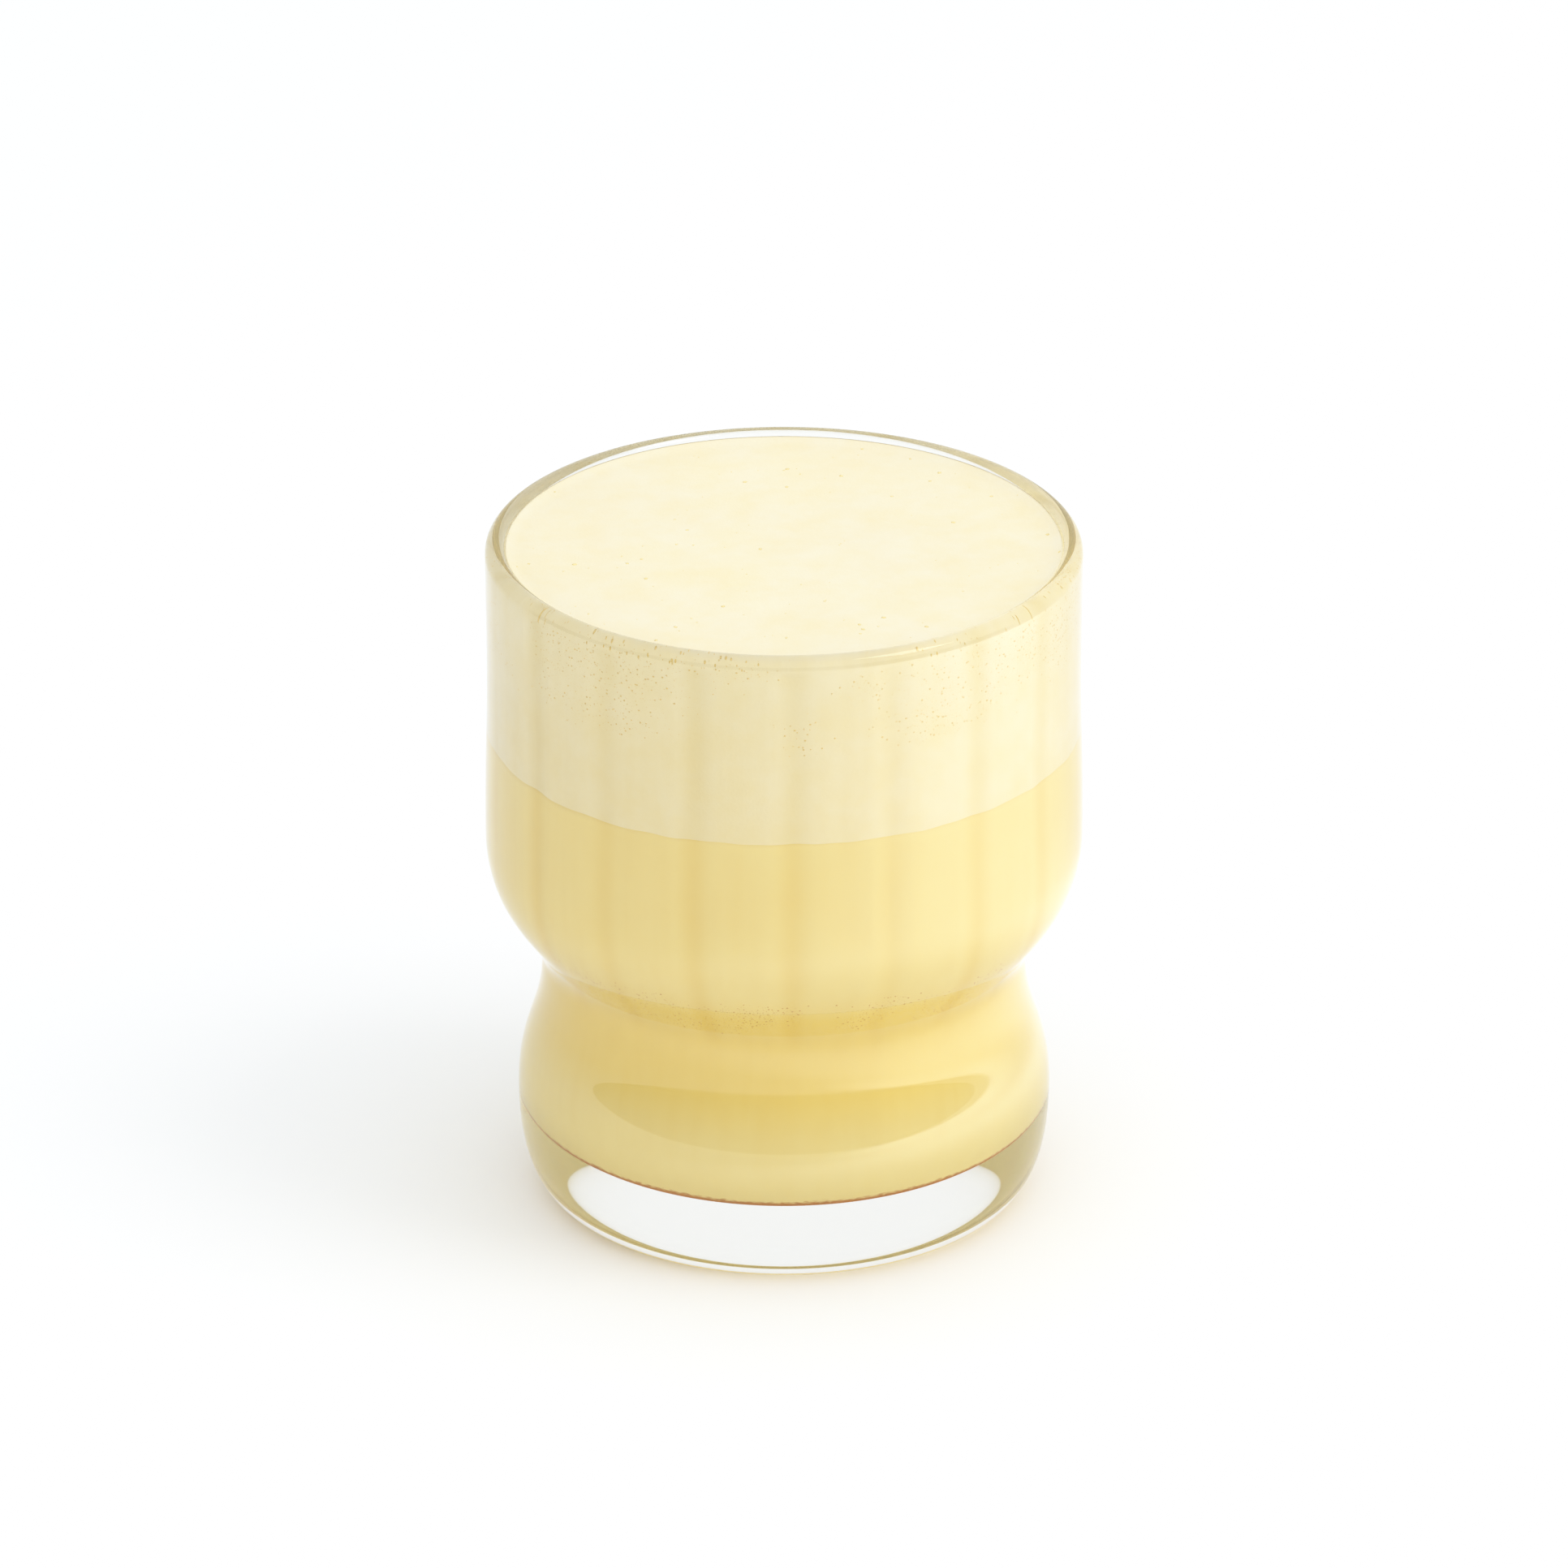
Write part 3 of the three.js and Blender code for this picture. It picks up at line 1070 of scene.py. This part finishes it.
@dataclass(frozen=True)
class FoamHead:
    """The head of foam: a wall that wets the glass, and a matte top with a small meniscus."""

    tumbler: Tumbler
    line: FoamLine
    level: float = 94.75
    reach: float = 0.15
    meniscus: float = 0.65
    meniscus_width: float = 1.8
    swell: float = 0.09
    long_waves: tuple[Wave, Wave] = (Wave(0.11, 0.07), Wave(-0.05, 0.09, 0.6))
    short_waves: tuple[Wave, Wave] = (Wave(0.35, -0.21, 1.3), Wave(0.17, 0.31))
    short_share: float = 0.4
    line_depth: float = 2.0
    wall_share: float = 0.6
    least_step: float = 0.3
    innermost: float = 0.5
    top_slack: float = 0.1
    edge_slack: float = 0.01
    crease: float = math.radians(60)
    columns: int = 360
    top_rings: int = 60
    finish: MilkFoam = field(default_factory=MilkFoam)

    def relief(self, x: np.ndarray, y: np.ndarray) -> np.ndarray:
        """Gives the soft unevenness of the top.

        Args:
            x: Places towards the right, in millimetres.
            y: Places towards the back, in millimetres.

        Returns:
            The rise in millimetres.
        """
        long, short = (
            np.sin(first.turn(x, y)) * np.cos(second.turn(x, y))
            for first, second in (self.long_waves, self.short_waves)
        )
        return self.swell * (long + self.short_share * short)

    def build(self) -> bpy.types.Object:
        """Builds the foam, pressed by the ribs.

        Returns:
            The foam, on its body.
        """
        wall = self.tumbler.fill(self.reach)
        low = self.line.level
        step = self.least_step
        between = wall[(wall[:, 1] > low + step) & (wall[:, 1] < self.level - step)]
        start = float(np.interp(low, wall[2:, 1], wall[2:, 0]))
        edge = float(np.interp(self.level, wall[2:, 1], wall[2:, 0]))
        radii = np.linspace(edge, self.innermost, self.top_rings)
        climb = np.clip(1 - (edge - radii) / self.meniscus_width, 0, 1) ** 2
        top = np.stack([radii, self.level + self.meniscus * climb], 1)
        outline = chain((0, low), (start * 0.5, low), (start, low), between, top, (0, self.level))
        ribbed = outline[:, 0] > self.tumbler.bore * self.wall_share

        def lift(radius: np.ndarray, level: np.ndarray, angle: np.ndarray) -> np.ndarray:
            """Follows the foam's line at the bottom and the relief on top.

            Args:
                radius: Distances from the axis in millimetres.
                level: Heights in millimetres.
                angle: Angles round the glass in radians.

            Returns:
                The rise in millimetres.
            """
            bottom = np.clip((low + self.line_depth - level) / self.line_depth, 0, 1)
            on_top = (level > self.level - self.top_slack) & (radius < edge + self.edge_slack)
            calm = np.clip((edge - radius) / self.meniscus_width, 0, 1)
            uneven = self.relief(radius * np.sin(angle), -radius * np.cos(angle))
            return bottom * self.line.at(angle) + on_top * calm * uneven

        foam = turn_outline("foam_head", outline, self.columns, ribbed, lift)
        self.tumbler.ribs.press(foam, self.finish.material())
        foam.data.set_sharp_from_angle(angle=self.crease)
        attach(foam, "root")
        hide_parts(Part.FOAM.value)
        return foam


@dataclass(frozen=True)
class Spice:
    """All the spice that shows: on the foam, in it behind the glass, and in the milk."""

    foam_flecks: SpeckScatter = SpeckScatter(
        "turmeric_flecks", GroundSpice("pale_turmeric", "#FBE6A8"), Facing.TOP,
        per_square_metre=70000, smallest=0.25, largest=0.9, flatness=0.12, low=94.0, high=96.0, seed=7,
    )
    wall_dots: SpeckScatter = SpeckScatter(
        "foam_wall_dots", GroundSpice("golden_turmeric", "#F0D690"), Facing.WALL,
        per_square_metre=4500000, smallest=0.1, largest=0.38, flatness=0.4, low=81.0, high=94.3, seed=4,
        cloud_size=12.0, cloud_floor=0.38, cloud_full=0.72,
    )
    milk_dots: SpeckScatter = SpeckScatter(
        "milk_waist_dots", GroundSpice("brown_spice", "#D2A055"), Facing.WALL,
        per_square_metre=4500000, smallest=0.1, largest=0.3, flatness=0.4, low=37.0, high=43.5, seed=9,
        cloud_size=7.0, cloud_floor=0.42, cloud_full=0.72,
    )

    def build(self, milk: bpy.types.Object, foam: bpy.types.Object) -> list[bpy.types.Object]:
        """Strews every kind of speck over its carrier.

        Args:
            milk: The milk.
            foam: The foam.

        Returns:
            One piece for each kind.
        """
        made = []
        for scatter, carrier, slot in (
            (self.foam_flecks, foam, Slot.FOAM),
            (self.wall_dots, foam, Slot.FOAM),
            (self.milk_dots, milk, Slot.MILK),
        ):
            specks = scatter.strew(carrier)
            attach(specks, "root")
            made.append(specks)
        return made


@dataclass(frozen=True)
class SoftBox:
    """A soft light that the camera never sees, and mirrors only where it says so. Sizes are in metres."""

    name: str
    place: tuple[float, float, float]
    size: Point
    power: float
    colour: str = "#FFFFFF"
    mirrored: bool = False
    looks_up: bool = False
    target: tuple[float, float, float] = (0.0, 0.0, 0.05)

    def hang(self) -> bpy.types.Object:
        """Hangs the light, turned to its target or straight up.

        Returns:
            The light's object.
        """
        lamp = bpy.data.lights.new(self.name, "AREA")
        lamp.shape = "RECTANGLE"
        lamp.size, lamp.size_y = self.size
        lamp.energy = self.power
        lamp.color = srgb(self.colour)[:3]
        holder = bpy.data.objects.new(self.name, lamp)
        holder.visible_camera = False
        holder.visible_transmission = False
        holder.visible_glossy = self.mirrored
        holder.location = self.place
        look = Vector(self.target) - Vector(self.place)
        turn = look.to_track_quat("-Z", "Y").to_euler()
        holder.rotation_euler = (math.pi, 0, 0) if self.looks_up else turn
        bpy.context.scene.collection.objects.link(holder)
        return holder


@dataclass(frozen=True)
class GlowPool:
    """A round pool of light on the floor that fades out from its middle, in metres."""

    middle: tuple[float, float, float]
    reach: float
    gain: float
    full_share: float = 0.4


@dataclass(frozen=True)
class Studio:
    """A pale floor, a white surround with a dark front, soft lights and the camera.

    Sizes are in metres, but the floor's gap, the lifts of the cards and the camera's aim are in
    millimetres. The ends of the dark front are angles in degrees.
    """

    floor_size: float = 8.0
    floor_gap: float = 0.3
    floor_colour: str = "#FBFDFF"
    floor_roughness: float = 0.9
    surround: float = 1.06
    sky: str = "#FBFDFF"
    boxes: tuple[SoftBox, ...] = (
        SoftBox("key_light", (0.55, -0.2, 1.05), (0.4, 0.4), power=2.0, colour="#FFFAF4", mirrored=True),
        SoftBox("side_light", (0.45, -0.12, 0.11), (0.5, 0.24), power=0.62, colour="#FFFDFA"),
        SoftBox("fill_light", (-0.85, -0.75, 0.16), (0.6, 0.3), power=1.6),
        SoftBox("low_light", (0.35, -0.9, 0.04), (0.5, 0.07), power=0.75),
        SoftBox("bounce_light", (0.06, -0.13, 0.001), (0.18, 0.12), power=0.06, looks_up=True),
        SoftBox("base_light", (0.0, 0.0, 0.0008), (0.044, 0.044), power=0.003, looks_up=True),
    )
    pools: tuple[GlowPool, ...] = (
        GlowPool((0.36, -0.15, 0.0), reach=0.36, gain=2.1),
        GlowPool((0.05, -0.04, 0.0), reach=0.16, gain=1.1),
    )
    shoulder_start: float = 0.6
    shoulder_end: float = 1.1
    table_front: float = 0.7
    clear_of_glass: float = 0.046
    full_glow: float = 0.12
    glow_radius: float = 0.8
    glow_lift: float = 0.4
    glow_sides: int = 64
    dark_colour: str = "#050505"
    dark_radius: float = 2.6
    dark_height: float = 1.3
    dark_left: float = -111.0
    dark_right: float = 97.0
    dark_fade: float = 14.0
    dark_full_height: float = 0.6
    dark_near: float = 0.7
    dark_full_near: float = 1.5
    dark_lift: float = 0.5
    dark_columns: int = 49
    camera_distance: float = 1.8
    camera_elevation: float = math.radians(24.52)
    camera_aim: float = 59.44
    camera_lens: float = 299.4
    camera_clip: Point = (0.05, 30.0)
    sensor: float = 36.0
    response_steps: int = 9
    bounces: int = 24
    glass_bounces: int = 20
    clear_bounces: int = 16

    def floor_finish(self) -> bpy.types.Material:
        """Builds the floor's finish.

        Returns:
            The material.
        """
        # Matte board: pale and even, with no shine at all
        board = bpy.data.materials.new("pale_floor")
        board.use_nodes = True
        shader = board.node_tree.nodes["Principled BSDF"]
        shader.inputs["Base Color"].default_value = srgb(self.floor_colour)
        shader.inputs["Roughness"].default_value = self.floor_roughness
        shader.inputs["Specular IOR Level"].default_value = 0.0
        return board

    def card(
        self,
        name: str,
        places: list[tuple[float, float, float]],
        faces: list[tuple[int, ...]],
        material: bpy.types.Material,
    ) -> bpy.types.Object:
        """Builds one stage piece from its corners.

        Args:
            name: Name of the piece.
            places: Its corners in metres.
            faces: For each face, the numbers of its corners.
            material: Its finish.

        Returns:
            The new object.
        """
        mesh = bpy.data.meshes.new(name)
        mesh.from_pydata(places, [], faces)
        mesh.materials.append(material)
        card = bpy.data.objects.new(name, mesh)
        bpy.context.scene.collection.objects.link(card)
        return card

    def hide_from_all_but_mirrors(self, *cards: bpy.types.Object) -> None:
        """Leaves cards to be seen in reflections only.

        Args:
            *cards: The cards.
        """
        for card in cards:
            for ray in ("camera", "transmission", "shadow", "diffuse", "volume_scatter"):
                setattr(card, "visible_" + ray, False)

    def build_floor(self) -> None:
        """Lays the floor just under the foot, so that the base keeps its clear look."""
        half, drop = self.floor_size / 2, -self.floor_gap * MM
        corners = [(-half, -half, drop), (half, -half, drop), (half, half, drop), (-half, half, drop)]
        self.card("floor", corners, [(0, 1, 2, 3)], self.floor_finish())

    def fading_black(self) -> bpy.types.Material:
        """Builds black cloth that fades out at every border, for soft reflections.

        Returns:
            The material.
        """
        # Black velvet: it swallows light, and its borders fade so that no mirrored edge is hard
        cloth = bpy.data.materials.new("black_cloth")
        cloth.use_nodes = True
        tree = cloth.node_tree
        tree.nodes.clear()
        place = add_node(tree, "ShaderNodeTexCoord").outputs["Object"]
        axes = add_node(tree, "ShaderNodeSeparateXYZ", {0: place}).outputs
        away = add_node(tree, "ShaderNodeVectorMath", {0: place}, operation="LENGTH").outputs["Value"]
        front = add_math(tree, "MULTIPLY", axes["Y"], -1.0)
        angle = add_math(tree, "ARCTAN2", axes["X"], front)
        cover: Any = 1.0
        for value, clear_at, full_at in (
            (axes["Z"], self.dark_height, self.dark_height * self.dark_full_height),
            (away, self.table_front * self.dark_near, self.table_front * self.dark_full_near),
            (angle, math.radians(self.dark_left), math.radians(self.dark_left + self.dark_fade)),
            (angle, math.radians(self.dark_right), math.radians(self.dark_right - self.dark_fade)),
        ):
            share = add_node(
                tree, "ShaderNodeMapRange", {"Value": value},
                {"From Min": clear_at, "From Max": full_at}, interpolation_type="SMOOTHSTEP",
            )
            cover = add_math(tree, "MULTIPLY", cover, share.outputs[0])
        dark = add_node(tree, "ShaderNodeBsdfDiffuse", values={"Color": srgb(self.dark_colour)})
        clear = add_node(tree, "ShaderNodeBsdfTransparent")
        both = add_node(
            tree, "ShaderNodeMixShader", {0: cover, 1: clear.outputs[0], 2: dark.outputs[0]}
        )
        add_node(tree, "ShaderNodeOutputMaterial", {"Surface": both.outputs[0]})
        return cloth

    def build_dark_front(self) -> None:
        """Lays and stands black cards in front, which only reflections see."""
        black = self.fading_black()
        far, lift = -self.floor_size, self.dark_lift * MM
        near = -self.table_front * self.dark_near
        strip = [(far, far, lift), (-far, far, lift), (-far, near, lift), (far, near, lift)]
        ground = self.card("dark_ground", strip, [(0, 1, 2, 3)], black)
        angles = np.radians(np.linspace(self.dark_left, self.dark_right, self.dark_columns))
        places = []
        for angle in angles:
            x, y = self.dark_radius * math.sin(angle), -self.dark_radius * math.cos(angle)
            places += [(x, y, 0.0), (x, y, self.dark_height)]
        faces = [(2 * i, 2 * i + 2, 2 * i + 3, 2 * i + 1) for i in range(len(angles) - 1)]
        wall = self.card("dark_wall", places, faces, black)
        self.hide_from_all_but_mirrors(ground, wall)

    def build_glow(self) -> None:
        """Adds a soft glow to the floor, near in front and at the right, which only glass mirrors."""
        # Lamplight on a pale table: glass mirrors it as a soft sheen that fades towards its edges
        glow = bpy.data.materials.new("floor_glow")
        glow.use_nodes = True
        tree = glow.node_tree
        tree.nodes.clear()
        place = add_node(tree, "ShaderNodeTexCoord").outputs["Object"]
        away = add_node(tree, "ShaderNodeVectorMath", {0: place}, operation="LENGTH").outputs["Value"]
        clear_ring = add_node(
            tree, "ShaderNodeMapRange", {"Value": away},
            {"From Min": self.clear_of_glass, "From Max": self.full_glow},
            interpolation_type="SMOOTHSTEP",
        )
        strength: Any = 0.0
        for pool in self.pools:
            away = add_node(
                tree, "ShaderNodeVectorMath", {0: place}, {1: pool.middle}, operation="DISTANCE"
            ).outputs["Value"]
            bright = add_node(
                tree, "ShaderNodeMapRange", {"Value": away},
                {"From Min": pool.reach, "From Max": pool.reach * pool.full_share, "To Max": pool.gain},
                interpolation_type="SMOOTHSTEP",
            )
            strength = add_math(tree, "ADD", strength, bright.outputs[0])
        strength = add_math(tree, "MULTIPLY", strength, clear_ring.outputs[0])
        shine = add_node(tree, "ShaderNodeEmission", {"Strength": strength})
        clear = add_node(tree, "ShaderNodeBsdfTransparent")
        both = add_node(tree, "ShaderNodeAddShader", {0: shine.outputs[0], 1: clear.outputs[0]})
        add_node(tree, "ShaderNodeOutputMaterial", {"Surface": both.outputs[0]})
        places, sides = [], self.glow_sides
        for step in range(sides):
            angle = 2 * math.pi * step / sides
            for radius in (self.clear_of_glass, self.glow_radius):
                places.append((radius * math.sin(angle), -radius * math.cos(angle), self.glow_lift * MM))
        count = len(places)
        faces = [(i, i + 1, (i + 3) % count, (i + 2) % count) for i in range(0, count, 2)]
        self.hide_from_all_but_mirrors(self.card("floor_glow", places, faces, glow))

    def build_light(self) -> None:
        """Sets the white surround and hangs the soft boxes."""
        world = bpy.data.worlds.new("white_surround")
        world.use_nodes = True
        world.node_tree.nodes["Background"].inputs["Color"].default_value = srgb(self.sky)
        world.node_tree.nodes["Background"].inputs["Strength"].default_value = self.surround
        bpy.context.scene.world = world
        for box in self.boxes:
            box.hang()

    def build_camera(self) -> None:
        """Sets the camera where the photo was taken from: far away, 24.5 degrees above level."""
        distance, elevation, aim = self.camera_distance, self.camera_elevation, self.camera_aim * MM
        camera = bpy.data.cameras.new("camera")
        camera.sensor_width = self.sensor
        camera.lens = self.camera_lens
        camera.clip_start, camera.clip_end = self.camera_clip
        holder = bpy.data.objects.new("camera", camera)
        back = (0, -distance * math.cos(elevation), aim + distance * math.sin(elevation))
        holder.location = back
        holder.rotation_euler = (math.pi / 2 - elevation, 0, 0)
        bpy.context.scene.collection.objects.link(holder)
        bpy.context.scene.camera = holder

    def set_response(self) -> None:
        """Gives the picture a soft shoulder, as film has: bright tones close up before white."""
        view = bpy.context.scene.view_settings
        view.view_transform = "Standard"
        view.use_curve_mapping = True
        curves = view.curve_mapping
        curves.white_level = (self.shoulder_end,) * 3
        curves.extend = "HORIZONTAL"
        # The fourth curve bends all three colours together
        points = curves.curves[3].points
        span = self.shoulder_end - self.shoulder_start
        power = span / (1 - self.shoulder_start)
        points[0].location = (0.0, 0.0)
        points[-1].location = (1.0, 1.0)
        for step in range(self.response_steps):
            share = step / self.response_steps
            bright = 1 - (1 - self.shoulder_start) * (1 - share) ** power
            points.new((self.shoulder_start + share * span) / self.shoulder_end, bright)
        for point in points:
            point.handle_type = "AUTO_CLAMPED"
        curves.update()

    def build(self) -> None:
        """Builds the whole studio and sets how light is traced and shown."""
        self.build_floor()
        self.build_dark_front()
        self.build_glow()
        self.build_light()
        self.build_camera()
        scene = bpy.context.scene
        self.set_response()
        scene.cycles.max_bounces = self.bounces
        scene.cycles.transmission_bounces = self.glass_bounces
        scene.cycles.transparent_max_bounces = self.clear_bounces
        scene.cycles.use_denoising = True


def main() -> None:
    """Builds the drink and the studio in order."""
    logging.basicConfig(level=logging.INFO, format="%(message)s")
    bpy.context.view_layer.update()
    tumbler, line = Tumbler(), FoamLine()
    glass = tumbler.build()
    milk = MilkBody(tumbler, line).build()
    foam = FoamHead(tumbler, line).build()
    specks = Spice().build(milk, foam)
    for piece in (glass, milk, foam, *specks):
        LOG.info("%s: %d faces", piece.name, len(piece.data.polygons))
    Studio().build()


if __name__ == "__main__":
    main()
